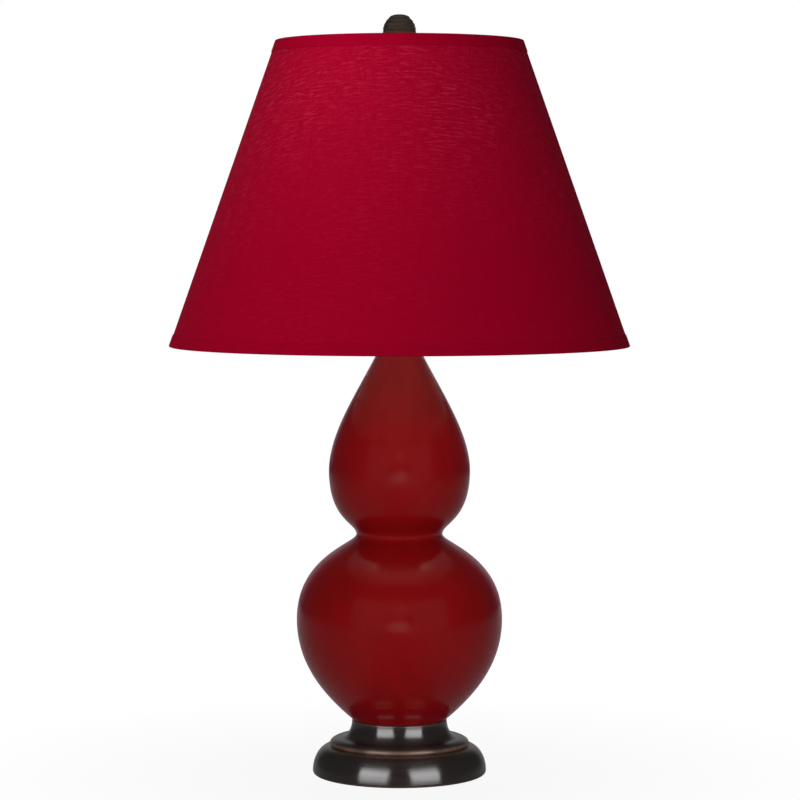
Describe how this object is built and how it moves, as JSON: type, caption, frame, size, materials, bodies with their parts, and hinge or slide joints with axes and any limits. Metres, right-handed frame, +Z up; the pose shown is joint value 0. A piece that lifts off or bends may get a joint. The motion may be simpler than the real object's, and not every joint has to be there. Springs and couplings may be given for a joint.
{
  "type": "table lamp",
  "caption": "Table lamp with a double gourd ceramic body on a turned bronze base, a tapered cloth shade on a harp, and a beehive finial.",
  "frame": {"origin": "centre of the base's footprint on the table", "axes": "+Z up along the lamp's axis, -Y to the front, where the switch's key is"},
  "size_m": [0.3564, 0.3564, 0.5885],
  "materials": {
    "felt": "brown wool felt, dense and flat",
    "bronze": "dark bronze over cast metal, satin, worn to brown on its edges",
    "black_plastic": "moulded black plastic",
    "rubber": "black rubber ring",
    "plated_steel": "zinc-plated steel",
    "glaze": "deep red high-gloss glaze",
    "brass": "bright brass",
    "fibre": "brown fibre insulating paper",
    "phenolic": "dark moulded phenolic",
    "knob_black": "glossy black moulded key",
    "soft_white_glass": "frosted white glass",
    "dark_glass": "black insulating glass",
    "cap_metal": "thin rolled aluminium",
    "red_cloth": "crimson cloth with a slub weave",
    "red_hem": "the same cloth, folded as a hem",
    "styrene": "white styrene sheet"
  },
  "bodies": {
    "stand": {"felt_pad": "felt", "base_casting": "bronze", "cord_bushing": "black_plastic", "seating_ring": "rubber", "threaded_rod": "plated_steel", "flat_washer": "plated_steel", "lock_washer": "plated_steel", "rod_nut": "plated_steel", "gourd_body": "glaze", "vase_cap": "bronze", "check_ring": "bronze", "neck_tube": "bronze", "harp_saddle": "brass", "harp_wire": "brass", "harp_seat": "brass", "socket_cap": "brass", "socket_set_screw": "brass", "socket_shell": "brass", "socket_liner": "fibre", "socket_body": "phenolic", "terminal_screws": "brass", "screw_shell": "brass", "centre_contact": "brass"},
    "switch": {"switch_knob": "knob_black"},
    "bulb": {"bulb_contact": "cap_metal", "bulb_insulator": "dark_glass", "bulb_cap": "cap_metal", "bulb_glass": "soft_white_glass"},
    "shade": {"fitter_hub": "plated_steel", "fitter_arm_rear": "plated_steel", "fitter_arm_left": "plated_steel", "fitter_arm_right": "plated_steel", "top_ring": "plated_steel", "bottom_ring": "plated_steel", "shade_fabric": "red_cloth", "shade_liner": "styrene", "top_hem": "red_hem", "bottom_hem": "red_hem"},
    "finial_body": {"finial": "bronze"},
    "sleeve_left": {"harp_sleeve_left": "brass"},
    "sleeve_right": {"harp_sleeve_right": "brass"}
  },
  "joints": [
    {"name": "switch_turn", "type": "hinge", "parent": "stand", "child": "switch", "pos_m": [0, -0.02, 0.384], "axis": [0, -1, 0], "continuous": true},
    {"name": "bulb_turn", "type": "hinge", "parent": "stand", "child": "bulb", "pos_m": [0, 0, 0.41], "axis": [0, 0, 1], "continuous": true},
    {"name": "shade_turn", "type": "hinge", "parent": "stand", "child": "shade", "pos_m": [0, 0, 0.557], "axis": [0, 0, 1], "continuous": true},
    {"name": "finial_turn", "type": "hinge", "parent": "stand", "child": "finial_body", "pos_m": [0, 0, 0.56], "axis": [0, 0, 1], "continuous": true},
    {"name": "sleeve_left_lift", "type": "slide", "parent": "stand", "child": "sleeve_left", "axis": [0, 0, 1], "range_m": [0, 0.014]},
    {"name": "sleeve_right_lift", "type": "slide", "parent": "stand", "child": "sleeve_right", "axis": [0, 0, 1], "range_m": [0, 0.014]}
  ]
}
